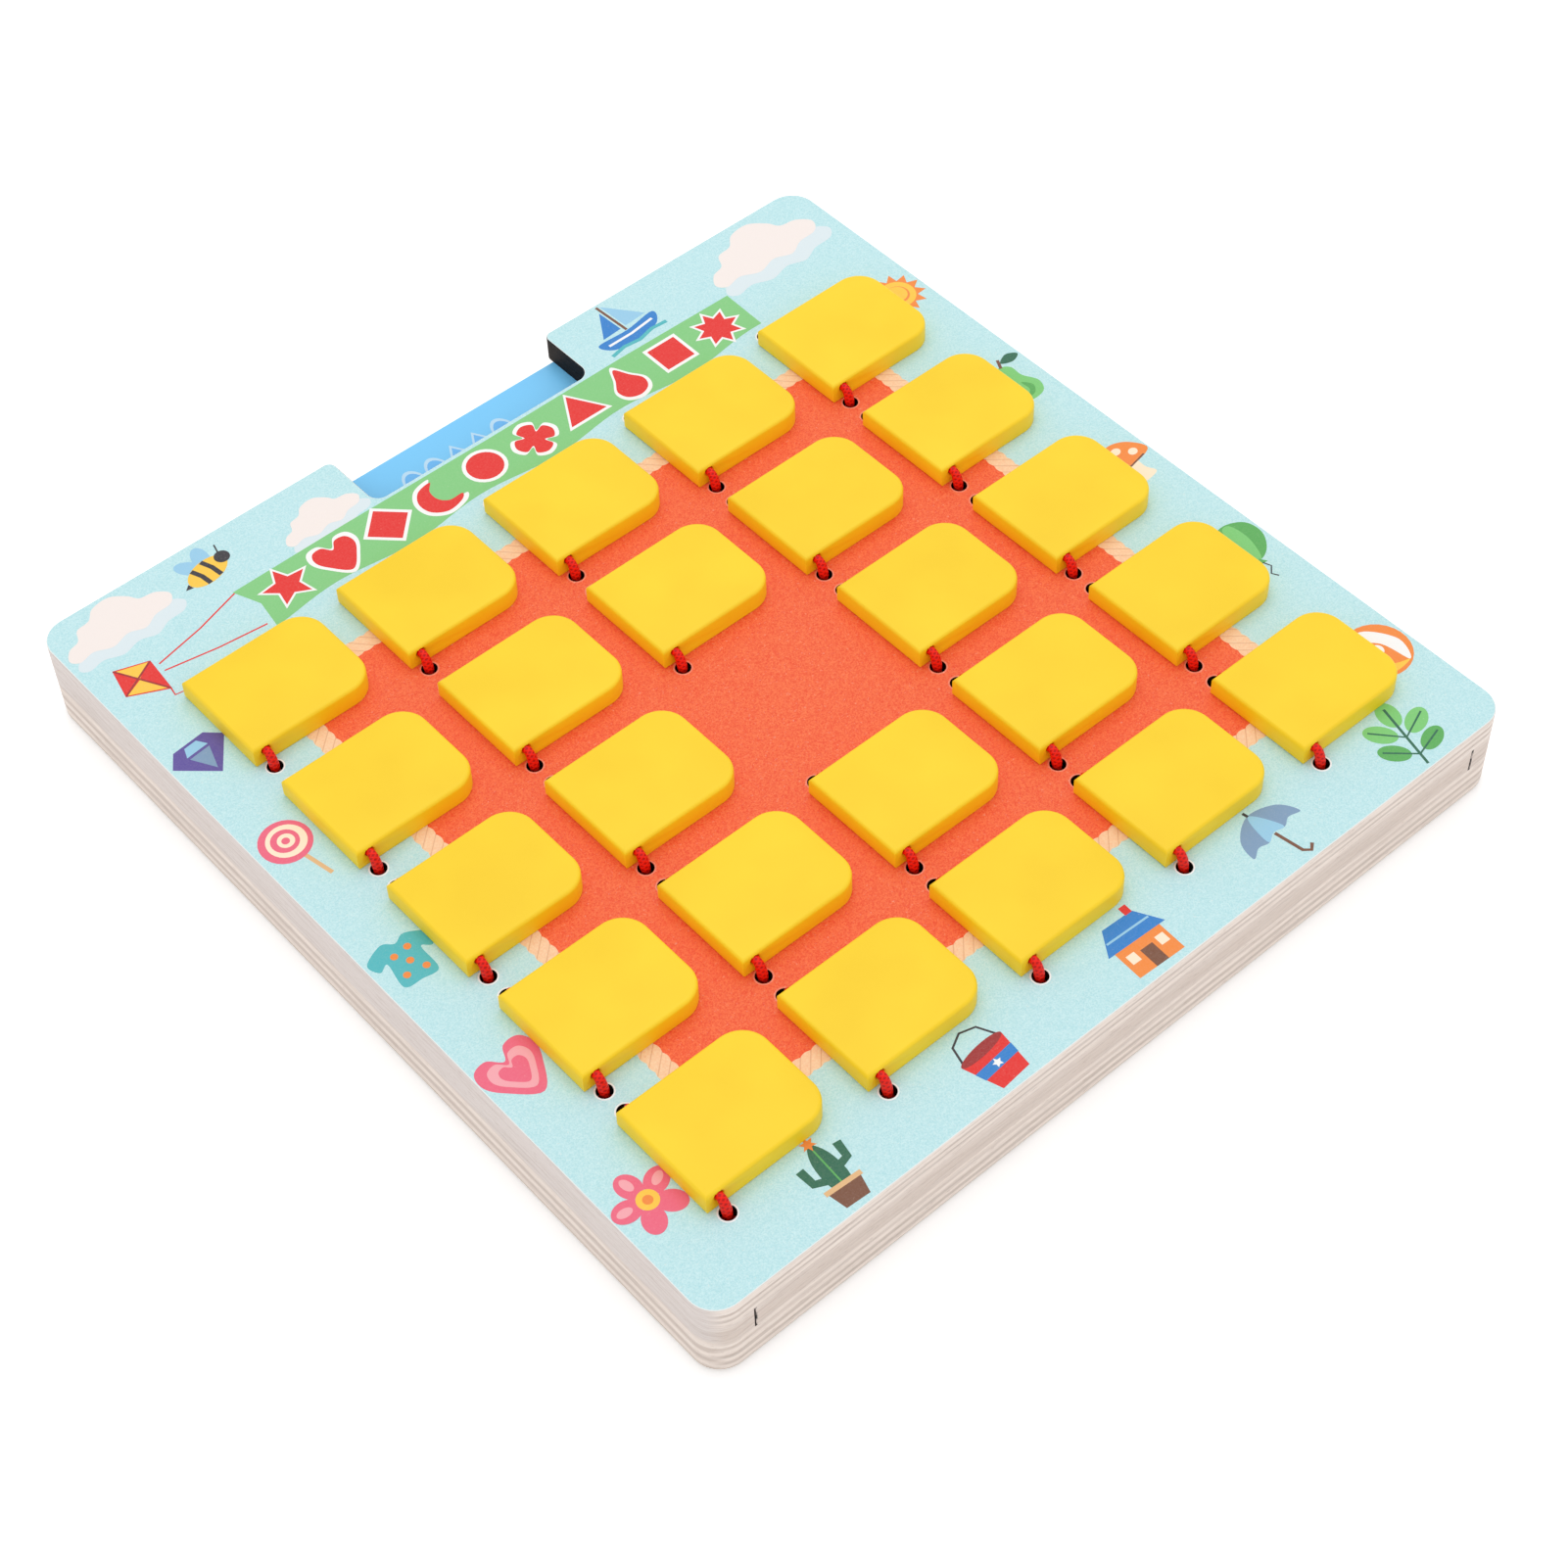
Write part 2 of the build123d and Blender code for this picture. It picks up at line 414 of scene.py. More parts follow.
def draw_picture(name, films, x=0.0, y=0.0, size=1.0, turn=0.0, surface_mm=0.0):
    """One piece of thin films of ink, each a colour and an outline, laid on each other."""
    sheets, covered = [], []
    for ink, outline in films:
        low_x, low_y = (min(corner[axis] for corner in outline) for axis in (0, 1))
        high_x, high_y = (max(corner[axis] for corner in outline) for axis in (0, 1))
        under = [
            level for level, (left, front, right, back) in covered
            if left < high_x and right > low_x and front < high_y and back > low_y
        ]
        level = 1 + max(under, default=0)
        covered.append((level, (low_x, low_y, high_x, high_y)))
        bpy.ops.object.select_all(action="DESELECT")
        bpy.ops.mesh.primitive_circle_add(vertices=len(outline), radius=MM, fill_type="NGON")
        sheet = bpy.context.object
        height = (surface_mm + ink_step * level) * MM
        for corner, (across, up) in zip(sheet.data.vertices, outline):
            across, up = rotated(across, up, turn)
            corner.co = ((x + size * across) * MM, (y + size * up) * MM, height)
        if sheet.data.polygons[0].normal.z < 0:
            sheet.data.flip_normals()
        tint = sheet.data.color_attributes.new(name="ink", type="FLOAT_COLOR", domain="CORNER")
        for corner in tint.data:
            corner.color = ink
        sheets.append(sheet)
    picture = joined(sheets, name)
    body = picture.modifiers.new("film", "SOLIDIFY")
    body.thickness = ink_thickness * MM
    body.offset = 1.0
    bpy.ops.object.modifier_apply(modifier="film")
    picture.data.materials.clear()
    picture.data.materials.append(printed_ink)
    return picture


heart = flowing(
    (0, 3.6), (2.4, 6.4), (5.8, 6.0), (6.9, 2.6), (5.0, -1.4), (0, -6.6), (-5.0, -1.4), (-6.9, 2.6),
    (-5.8, 6.0), (-2.4, 6.4),
)
crescent = flowing(
    (1.5, 6.6), (-3.6, 5.6), (-6.4, 1.4), (-5.6, -3.6), (-1.2, -6.6), (4.4, -5.6), (6.2, -3.4),
    (1.6, -3.2), (-0.9, -0.4), (-0.8, 3.6),
)
drop = flowing(
    (0, 7.2), (2.6, 2.6), (5.0, -1.4), (3.9, -5.2), (0, -6.8), (-3.9, -5.2), (-5.0, -1.4), (-2.6, 2.6),
)
leaf = flowing(
    (0, 7.0), (3.6, 3.4), (4.6, -1.0), (2.8, -4.8), (0, -6.4), (-2.8, -4.8), (-4.6, -1.0), (-3.6, 3.4),
)
clover = flowing(
    (0, 6.8), (3.0, 5.2), (2.2, 2.2), (5.2, 3.0), (6.8, 0), (5.2, -3.0), (2.2, -2.2), (3.0, -5.2),
    (0, -6.8), (-3.0, -5.2), (-2.2, -2.2), (-5.2, -3.0), (-6.8, 0), (-5.2, 3.0), (-2.2, 2.2), (-3.0, 5.2),
)

sea_pictures = [
    [  # a fish
        (orange, flowing(
            (-7.2, 0.2), (-3.4, 4.2), (1.6, 4.0), (4.6, 1.0), (8.0, 4.2), (7.2, 0), (8.0, -4.2),
            (4.6, -1.0), (1.6, -4.0), (-3.4, -4.0),
        )),
        (yellow, stroke(1.4, (-1.2, 3.9), (-0.4, 0), (-1.2, -3.7))),
        (yellow, stroke(1.2, (2.2, 3.2), (2.8, 0), (2.2, -3.2))),
        (white, oval(-4.4, 1.2, 1.2, 1.2)), (dark, oval(-4.6, 1.2, 0.6, 0.6)),
    ],
    [(rose, regular(0, 0, 7.4, 5)), (pink, spiky(0, 0, 6.6, 3.0, 5)), (white, oval(0, 0, 1.4, 1.4))],
    [  # a scallop shell
        (sand, flowing(
            (0, -6.4), (3.0, -4.0), (7.0, 1.4), (4.6, 5.6), (0, 6.8), (-4.6, 5.6), (-7.0, 1.4),
            (-3.0, -4.0),
        )),
        (brown, stroke(0.6, (0, -5.4), (0, 5.8))), (brown, stroke(0.6, (-0.6, -5.0), (-3.4, 4.4))),
        (brown, stroke(0.6, (0.6, -5.0), (3.4, 4.4))),
    ],
    [  # a crab
        (red, oval(0, -0.6, 5.4, 3.8)), (red, oval(-6.0, 3.8, 2.0, 2.4)), (red, oval(6.0, 3.8, 2.0, 2.4)),
        (red, stroke(1.0, (-6.8, -5.2), (-4.6, -2.2), (4.6, -2.2), (6.8, -5.2))),
        (white, oval(-1.6, 1.6, 1.0, 1.0)), (white, oval(1.6, 1.6, 1.0, 1.0)),
    ],
    [(white, drop), (blue, grown(drop, 0.82)), (pale_blue, oval(-1.6, -2.6, 1.0, 1.8, 0.4))],
    [  # a sailing boat
        (brown, flowing((-7.2, -2.0), (0, -2.4), (7.2, -2.0), (4.6, -5.8), (-4.6, -5.8))),
        (dark, stroke(0.6, (0, -2.2), (0, 7.2))),
        (white, [(0.8, -1.2), (6.0, -1.2), (0.8, 6.8)]), (red, [(-0.8, -1.2), (-0.8, 5.4), (-5.2, -1.2)]),
    ],
    [
        (green, leaf), (dark_green, stroke(0.6, (0, -6.0), (0, 5.4))),
        (dark_green, stroke(0.5, (-3.2, 1.6), (0, -1.2), (3.2, 1.6))),
    ],
    [
        (white, oval(0, 0, 6.8, 6.8)), (red, oval(0, 0, 6.2, 6.2)), (white, oval(0, 0, 4.4, 4.4)),
        (red, oval(0, 0, 2.4, 2.4)),
    ],
    [(purple, crescent), (white, oval(3.0, 3.0, 1.0, 1.0))],
    [
        (teal, stroke(2.2, (-6.8, 2.4), (-3.4, 4.6), (0, 2.4), (3.4, 4.6), (6.8, 2.4))),
        (blue, stroke(2.2, (-6.8, -3.0), (-3.4, -0.8), (0, -3.0), (3.4, -0.8), (6.8, -3.0))),
    ],
    [  # an anchor
        (dark, stroke(1.4, (0, 5.0), (0, -6.0))),
        (dark, stroke(1.4, (-5.6, -1.6), (-3.6, -5.0), (0, -6.2), (3.6, -5.0), (5.6, -1.6))),
        (dark, stroke(1.4, (-3.2, 3.0), (3.2, 3.0))), (dark, oval(0, 6.0, 1.6, 1.6)),
        (white, oval(0, 6.0, 0.7, 0.7)),
    ],
    [(yellow, spiky(0, 0, 7.2, 3.2, 6)), (orange, oval(0, 0, 2.2, 2.2))],
]
plain_shapes = [
    (red, oval(0, 0, 6.4, 6.4)), (blue, regular(0, 0, 8.0, 4, math.pi / 4)),
    (yellow, regular(0, -1.0, 8.0, 3)), (green, spiky(0, 0, 7.6, 3.4, 5)), (rose, heart),
    (purple, regular(0, 0, 7.8, 4)), (orange, regular(0, 0, 7.4, 5)), (teal, crescent),
    (brown, regular(0, 0, 7.2, 6)), (dark_green, clover), (blue, drop), (red, spiky(0, 0, 7.6, 2.6, 4)),
]
dot_patterns = []
for count in range(1, pairs_per_card + 1):
    inner_count, inner_reach, outer_reach = math.ceil(count / 3), 3.2 if count > 1 else 0.0, 6.2
    dots = [(cream, oval(0, 0, 8.6, 8.6))]
    for dot in range(count):
        inner = dot < inner_count
        reach = inner_reach if inner else outer_reach
        angle = 2 * math.pi * dot / (inner_count if inner else count - inner_count)
        dot_outline = oval(reach * math.cos(angle), reach * math.sin(angle), 1.2, 1.2, points=14)
        dots.append((red if count % 2 else blue, dot_outline))
    dot_patterns.append(dots)

margin_pictures = {
    "bee": [
        (pale_blue, oval(-1.8, 4.2, 2.2, 4.0, 0.5)), (pale_blue, oval(2.2, 4.2, 2.2, 4.0, -0.4)),
        (yellow, oval(0, 0, 6.0, 3.6)), (dark, stroke(1.3, (-2.4, 3.2), (-2.0, 0), (-2.4, -3.2))),
        (dark, stroke(1.3, (1.2, 3.4), (1.6, 0), (1.2, -3.4))), (dark, oval(5.6, 0.4, 2.0, 2.0)),
        (dark, stroke(0.4, (6.0, 2.0), (7.4, 4.6))), (dark, [(-6.0, 0.9), (-7.8, 0), (-6.0, -0.9)]),
    ],
    "sailing_boat": [
        (blue, flowing((-8.6, -2.0), (0, -2.6), (8.6, -2.0), (5.6, -6.2), (-5.6, -6.2))),
        (white, stroke(0.7, (-6.8, -3.8), (0, -4.2), (6.8, -3.8))),
        (brown, stroke(0.7, (0, -2.4), (0, 8.4))), (pale_blue, [(0.8, -1.2), (7.0, -1.2), (0.8, 8.0)]),
        (blue, [(-0.8, -1.2), (-0.8, 6.4), (-6.2, -1.2)]),
        (teal, stroke(1.0, (-8.6, -7.0), (-4.4, -6.4), (0, -7.2), (4.4, -6.4), (8.6, -7.0))),
    ],
    "sun": [
        (orange, spiky(0, 0, 8.2, 5.6, 12)), (yellow, oval(0, 0, 5.2, 5.2)),
        (orange, oval(0, 0, 3.4, 3.4)), (yellow, oval(0, 0.3, 3.0, 3.0)),
    ],
    "pear": [
        (green, flowing(
            (0, 5.6), (2.4, 4.4), (3.2, 0.8), (5.8, -2.8), (4.8, -6.6), (0, -8.0), (-4.8, -6.6),
            (-5.8, -2.8), (-3.2, 0.8), (-2.4, 4.4),
        )),
        (leaf_green, flowing((1.6, -1.4), (3.8, -3.4), (2.8, -6.0), (0.6, -6.6), (2.2, -4.4))),
        (brown, stroke(0.8, (0, 5.2), (0.8, 8.2))),
        (dark_green, flowing((0.8, 6.8), (3.6, 9.0), (6.4, 7.8), (4.0, 6.0))),
    ],
    "mushroom": [
        (cream, flowing(
            (-2.4, 0.4), (-2.2, -4.2), (-3.0, -7.2), (0, -7.8), (3.0, -7.2), (2.2, -4.2), (2.4, 0.4),
        )),
        (orange, flowing(
            (-8.0, -0.4), (-6.6, 4.6), (-2.6, 7.6), (2.6, 7.6), (6.6, 4.6), (8.0, -0.4), (0, -1.4),
        )),
        (cream, oval(-3.6, 3.4, 1.6, 1.3)), (cream, oval(1.2, 5.0, 1.5, 1.2)),
        (cream, oval(4.4, 1.8, 1.4, 1.2)), (brown, stroke(0.5, (-5.6, -0.9), (0, -1.3), (5.6, -0.9))),
    ],
    "balloon": [
        (leaf_green, flowing(
            (0, 8.4), (4.6, 6.6), (5.8, 2.2), (3.6, -2.2), (0, -4.2), (-3.6, -2.2), (-5.8, 2.2),
            (-4.6, 6.6),
        )),
        (green, flowing((-1.2, 7.4), (1.2, 7.4), (2.2, 2.2), (0.9, -3.6), (-0.9, -3.6), (-2.2, 2.2))),
        (leaf_green, [(-1.2, -5.4), (1.2, -5.4), (0, -3.8)]),
        (dark, stroke(0.35, (0, -5.2), (0.9, -7.0), (-0.6, -8.8), (0.4, -10.2))),
    ],
    "beach_ball": [
        (orange, oval(0, 0, 8.0, 8.0)),
        (white, flowing((0, 7.4), (4.6, 4.4), (5.0, -3.6), (0, -7.4), (2.2, 0))),
        (yellow, flowing((0, 7.4), (-2.6, 4.0), (-2.8, -3.6), (0, -7.4), (-6.0, -4.0), (-6.2, 3.6))),
        (white, oval(0, 0.2, 1.6, 1.6)),
    ],
    "sprig": [
        (green, oval(0, 7.0, 2.8, 4.0)), (green, oval(-5.0, 2.8, 2.6, 4.2, 0.9)),
        (green, oval(5.0, 2.8, 2.6, 4.2, -0.9)), (leaf_green, oval(-5.2, -3.4, 2.4, 4.0, 1.0)),
        (leaf_green, oval(5.2, -3.4, 2.4, 4.0, -1.0)),
        (dark_green, stroke(0.7, (0, -9.4), (0, 0), (0, 9.0))),
        (dark_green, stroke(0.5, (-7.4, 4.6), (0, -0.6), (7.4, 4.6))),
        (dark_green, stroke(0.5, (-7.6, -2.0), (0, -6.2), (7.6, -2.0))),
    ],
    "umbrella": [
        (grey_blue, flowing(
            (-8.4, 0), (-6.4, 4.8), (0, 7.6), (6.4, 4.8), (8.4, 0), (5.4, 0.9), (2.8, 0), (0, 0.9),
            (-2.8, 0), (-5.4, 0.9),
        )),
        (pale_blue, flowing((-2.8, 0.2), (-1.6, 5.0), (0, 7.4), (1.6, 5.0), (2.8, 0.2), (0, 0.9))),
        (dark, stroke(0.7, (0, 7.4), (0, 8.8))),
        (brown, stroke(0.8, (0, 0.6), (0, -6.4), (1.2, -7.8), (2.8, -6.8))),
    ],
    "house": [
        (orange, [(-6.0, -6.6), (6.0, -6.6), (6.0, 1.0), (-6.0, 1.0)]),
        (blue, [(-7.6, 0.8), (7.6, 0.8), (4.0, 6.8), (-4.0, 6.8)]),
        (brown, [(-1.4, -6.6), (1.8, -6.6), (1.8, -1.6), (-1.4, -1.6)]),
        (cream, [(-4.8, -3.4), (-2.6, -3.4), (-2.6, -1.0), (-4.8, -1.0)]),
        (cream, [(2.9, -3.4), (5.1, -3.4), (5.1, -1.0), (2.9, -1.0)]),
        (pale_blue, stroke(0.5, (-5.6, 3.6), (5.6, 3.6))),
        (red, [(2.2, 6.6), (4.0, 6.6), (4.0, 8.8), (2.2, 8.8)]),
    ],
    "bucket": [
        (dark, stroke(0.5, (-5.2, 1.6), (-3.4, 6.4), (0, 7.8), (3.4, 6.4), (5.2, 1.6))),
        (red, [(-5.8, 2.0), (-3.8, -7.0), (3.8, -7.0), (5.8, 2.0)]),
        (deep_red, oval(0, 2.0, 5.8, 1.3)),
        (blue, [(-5.2, -1.0), (-4.7, -3.4), (4.7, -3.4), (5.2, -1.0)]),
        (white, spiky(0, -2.2, 1.2, 0.6, 5)),
    ],
    "cactus": [
        (dark_green, flowing((-2.2, -3.0), (-2.4, 4.0), (0, 8.4), (2.4, 4.0), (2.2, -3.0))),
        (dark_green, stroke(2.0, (-1.2, -1.0), (-4.8, 0.4), (-5.2, 4.6))),
        (dark_green, stroke(2.0, (1.2, 0.6), (4.6, 1.6), (5.0, 5.6))),
        (leaf_green, stroke(0.4, (0, -2.6), (0, 6.8))), (orange, spiky(0, 8.6, 1.9, 0.9, 6)),
        (brown, [(-4.2, -2.8), (-3.0, -8.0), (3.0, -8.0), (4.2, -2.8)]),
        (sand, stroke(1.2, (-4.6, -3.0), (4.6, -3.0))),
    ],
    "flower": [
        (rose, oval(0, 5.2, 2.8, 3.6)), (rose, oval(4.9, 1.6, 2.8, 3.6, -1.26)),
        (rose, oval(3.0, -4.2, 2.8, 3.6, 0.63)), (rose, oval(-3.0, -4.2, 2.8, 3.6, -0.63)),
        (rose, oval(-4.9, 1.6, 2.8, 3.6, 1.26)), (yellow, oval(0, 0, 2.6, 2.6)),
        (pink, oval(0, 5.8, 1.1, 1.9)), (pink, oval(5.4, 1.8, 1.1, 1.9, -1.26)),
        (pink, oval(-5.4, 1.8, 1.1, 1.9, 1.26)), (orange, oval(0, 0, 1.2, 1.2)),
    ],
    "heart": [(rose, grown(heart, 1.1)), (pink, grown(heart, 0.78)), (rose, grown(heart, 0.5))],
    "shirt": [
        (teal, flowing(
            (-3.0, 5.8), (0, 4.4), (3.0, 5.8), (8.0, 2.8), (6.6, -0.6), (4.2, 0.4), (4.4, -6.8),
            (0, -7.2), (-4.4, -6.8), (-4.2, 0.4), (-6.6, -0.6), (-8.0, 2.8),
        )),
        (orange, oval(-2.0, 1.4, 0.9, 0.9)), (orange, oval(1.8, 2.2, 0.9, 0.9)),
        (orange, oval(0.4, -1.4, 0.9, 0.9)), (orange, oval(-2.2, -4.4, 0.9, 0.9)),
        (orange, oval(2.6, -4.6, 0.9, 0.9)),
    ],
    "lollipop": [
        (sand, stroke(1.0, (0, -1.0), (0, -10.0))), (rose, oval(0, 3.2, 5.8, 5.8)),
        (cream, oval(0.3, 3.2, 4.4, 4.4)), (rose, oval(0.1, 3.4, 3.1, 3.1)),
        (cream, oval(0.3, 3.3, 1.9, 1.9)), (rose, oval(0.2, 3.3, 0.9, 0.9)),
    ],
    "gem": [
        (purple, [(-4.6, 5.6), (4.6, 5.6), (8.0, 1.6), (0, -7.4), (-8.0, 1.6)]),
        (pale_blue, [(-1.8, 4.8), (1.8, 4.8), (3.2, 2.0), (-3.2, 2.0)]),
        (grey_blue, [(-3.0, 1.2), (3.0, 1.2), (0, -5.6)]),
    ],
    "kite": [
        (red, [(0, 8.6), (6.2, 1.6), (0, -7.6), (-6.2, 1.6)]), (yellow, [(0, 8.0), (5.6, 1.8), (0, 1.2)]),
        (yellow, [(0, -6.8), (-5.6, 1.4), (0, 1.0)]),
        (deep_red, stroke(0.5, (-6.0, 1.6), (6.0, 1.6))), (deep_red, stroke(0.5, (0, 8.4), (0, -7.4))),
        (red, stroke(0.4, (0, -7.2), (-1.6, -9.2), (0.4, -10.8), (-1.2, -12.6))),
    ],
}

card_grounds = [
    ((122, 206, 255), (150, 226, 255)), ((190, 226, 150), (206, 236, 170)),
    ((250, 206, 120), (255, 218, 140)), ((240, 172, 178), (248, 190, 196)),
]
card_sets = [
    sea_pictures,
    list(margin_pictures.values())[:pairs_per_card],
    [[(white, grown(outline, 1.22)), (ink, outline)] for ink, outline in plain_shapes],
    dot_patterns,
]
# Which picture lies under each window. The second of each pair is dealt by steps of seven.
first_dozen = [5, 0, 9, 2, 7, 11, 4, 1, 8, 3, 10, 6]
patch_radius, picture_share = 10.4, 0.98
fade_waver, fade_from, fade_to = 40.0, -90.0, 130.0
for number, (grounds, pictures) in enumerate(zip(card_grounds, card_sets), start=1):
    node_name = f"picture_card_{number}"
    card_finish, tree, shader = new_finish(f"card_{number}_print", 0.35)
    place, x, y, z = place_in_mm(tree)
    waver = calc(tree, "MULTIPLY", grain(tree, place, (0.03, 0.03, 0.03)), fade_waver)
    fade = spread(tree, calc(tree, "ADD", y, waver), fade_from, fade_to)
    printed = between(tree, fade, screen_colour(*grounds[1]), screen_colour(*grounds[0]))
    fibres = spread(tree, grain(tree, place, (1.2, 1.2, 9.0), detail=4.0), 0.35, 0.7)
    core = between(tree, fibres, screen_colour(214, 206, 192), screen_colour(238, 232, 222))
    feed(tree, shader.inputs["Base Color"], between(tree, faces_up_or_down(tree), core, printed))
    roughen(tree, shader, grain(tree, place, (0.8, 0.8, 0.8), detail=4.0), 0.02)
    dress(node_name, card_finish)
    ink_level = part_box(node_name)[1].z / MM - ink_drop
    second_dozen = [first_dozen[(step * 7 + number) % pairs_per_card] for step in range(pairs_per_card)]
    patch = [(white, oval(0, 0, patch_radius, patch_radius))]
    films_on_card = []
    for which, (row, column, at_x, at_y) in zip(first_dozen + second_dozen, window_places()):
        films = patch + pictures[which]
        films_on_card.append(draw_picture("film", films, at_x, at_y, picture_share, 0.0, ink_level))
    if number == 1:
        # A row of plain outlines, which the notch of the top plate leaves in sight
        sea, foam = screen_colour(104, 188, 250), screen_colour(190, 228, 252)
        marks = []
        for mark_x, corners in ((-17.0, 0), (-10.6, 0), (-4.2, 3), (2.2, 3), (8.6, 0)):
            mark = regular(mark_x, 98.8, 6.6, corners) if corners else oval(mark_x, 99.0, 3.1, 6.2)
            marks += [(foam, mark), (sea, grown(mark, 0.84, mark_x, 98.6))]
        films_on_card.append(draw_picture("film", marks, surface_mm=ink_level))
    card_pictures = joined(films_on_card, f"card_{number}_pictures")
    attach(card_pictures, node_name)


# Top plate
# Laser cut from thin plywood, so the walls of its windows, cord holes and notch are
# burnt black. Its face is printed: a pale blue ground, an orange field with a rope
# round it, and a fine pale line round each hole.
window_radius = 12.1
hinge_left_of_window = 12.2
hinge_back_of_window = 0.25
holes_middle_back_of_window = -0.2
cord_hole_from_middle = 15.15
cord_hole_radius = 1.8
ring_width = 0.35


def away_from(tree, x, y):
    """How far a place lies from the origin."""
    squares = calc(tree, "ADD", calc(tree, "MULTIPLY", x, x), calc(tree, "MULTIPLY", y, y))
    return calc(tree, "SQRT", squares)


def nearest_in_row(tree, place, first, pitch, count):
    """Which of the evenly spaced windows is the nearest, and how far the place is from it."""
    from_first = calc(tree, "SUBTRACT", place, first)
    number = calc(tree, "ROUND", calc(tree, "DIVIDE", from_first, pitch))
    number = calc(tree, "MINIMUM", calc(tree, "MAXIMUM", number, 0.0), count - 1.0)
    return number, calc(tree, "SUBTRACT", from_first, calc(tree, "MULTIPLY", number, pitch))


def ring_round_holes(tree, x, y):
    column, dx = nearest_in_row(tree, x, first_window_x, column_pitch, columns)
    row, dy = nearest_in_row(tree, y, last_window_y, row_pitch, rows)
    from_window = calc(tree, "SUBTRACT", away_from(tree, dx, dy), window_radius)
    hole_x = calc(tree, "ADD", dx, hinge_left_of_window)
    from_middle = calc(tree, "ABSOLUTE", calc(tree, "SUBTRACT", dy, holes_middle_back_of_window))
    hole_y = calc(tree, "SUBTRACT", from_middle, cord_hole_from_middle)
    from_hole = calc(tree, "SUBTRACT", away_from(tree, hole_x, hole_y), cord_hole_radius)
    ring = calc(tree, "LESS_THAN", calc(tree, "MINIMUM", from_window, from_hole), ring_width)
    same_number = 0.1
    in_column = calc(tree, "COMPARE", column, empty_column - 1.0, same_number)
    in_row = calc(tree, "COMPARE", row, rows - float(empty_row), same_number)
    elsewhere = calc(tree, "SUBTRACT", 1.0, calc(tree, "MULTIPLY", in_column, in_row))
    return calc(tree, "MULTIPLY", ring, elsewhere)


def outside_box(tree, x, y, middle_x, middle_y, half_width, half_depth):
    """How far a place lies outside an upright rectangle: at all, past its sides, and past its ends."""
    from_middle_x = calc(tree, "ABSOLUTE", calc(tree, "SUBTRACT", x, middle_x))
    from_middle_y = calc(tree, "ABSOLUTE", calc(tree, "SUBTRACT", y, middle_y))
    past_side = calc(tree, "SUBTRACT", from_middle_x, half_width)
    past_end = calc(tree, "SUBTRACT", from_middle_y, half_depth)
    return calc(tree, "MAXIMUM", past_side, past_end), past_side, past_end


def speckled(tree, place, darker, paler, per_mm=2.2):
    """Printing ink on a sanded face: fine mottling with sparse pale specks."""
    sanded = grain(tree, place, (per_mm, per_mm, per_mm), detail=4.0, roughness=0.7)
    ink = between(tree, spread(tree, sanded, 0.34, 0.66), darker, paler)
    specks = spread(tree, grain(tree, place, (1.5, 1.5, 1.5), detail=3.0, roughness=0.8), 0.62, 0.7)
    return tinted(tree, specks, 0.3, ink, screen_colour(255, 240, 226))


printed_plate, tree, shader = new_finish("printed_plate", 0.55)
place, x, y, z = place_in_mm(tree)
ring = ring_round_holes(tree, x, y)
ground = speckled(tree, place, screen_colour(174, 222, 228), screen_colour(210, 241, 244), 2.9)
ground = tinted(tree, ring, 0.9, ground, screen_colour(252, 252, 252))
field = speckled(tree, place, screen_colour(236, 60, 12), screen_colour(255, 127, 72), 2.9)
field = tinted(tree, ring, 0.2, field, screen_colour(255, 226, 208))

field_middle_x, field_middle_y = 0.6, -9.65
field_half_width, field_half_depth = 78.9, 71.25
rope_width, rope_strand, rope_gap = 4.1, 2.7, 0.15
strand_slant, strand_bulge, groove_share = 0.9, 0.35, 0.12
past_field, past_side, past_end = outside_box(
    tree, x, y, field_middle_x, field_middle_y, field_half_width, field_half_depth,
)
beside = calc(tree, "GREATER_THAN", past_side, past_end)
along_side = calc(tree, "MULTIPLY", beside, y)
along_end = calc(tree, "MULTIPLY", calc(tree, "SUBTRACT", 1.0, beside), x)
along = calc(tree, "ADD", along_side, along_end)
slanted = calc(tree, "ADD", along, calc(tree, "MULTIPLY", past_field, strand_slant))
strand = calc(tree, "FRACT", calc(tree, "DIVIDE", slanted, rope_strand))
bulge = calc(tree, "ABSOLUTE", calc(tree, "SINE", calc(tree, "MULTIPLY", along, math.pi / rope_strand)))
bulge = calc(tree, "MULTIPLY", bulge, strand_bulge)
past_rope_inside = calc(tree, "GREATER_THAN", calc(tree, "ADD", past_field, bulge), rope_gap)
within_rope = calc(tree, "LESS_THAN", calc(tree, "SUBTRACT", past_field, bulge), rope_width)
groove = calc(tree, "LESS_THAN", strand, groove_share)
rope = speckled(tree, place, screen_colour(250, 200, 158), screen_colour(255, 223, 190))
rope = tinted(tree, groove, 0.7, rope, screen_colour(226, 172, 132))
artwork = between(tree, within_rope, ground, between(tree, past_rope_inside, field, rope))
print_depth, rubbed_depth = 0.12, 0.01
on_rim = calc(tree, "LESS_THAN", z, board_height_mm - rubbed_depth)
artwork = tinted(tree, on_rim, 0.8, artwork, screen_colour(250, 250, 248))

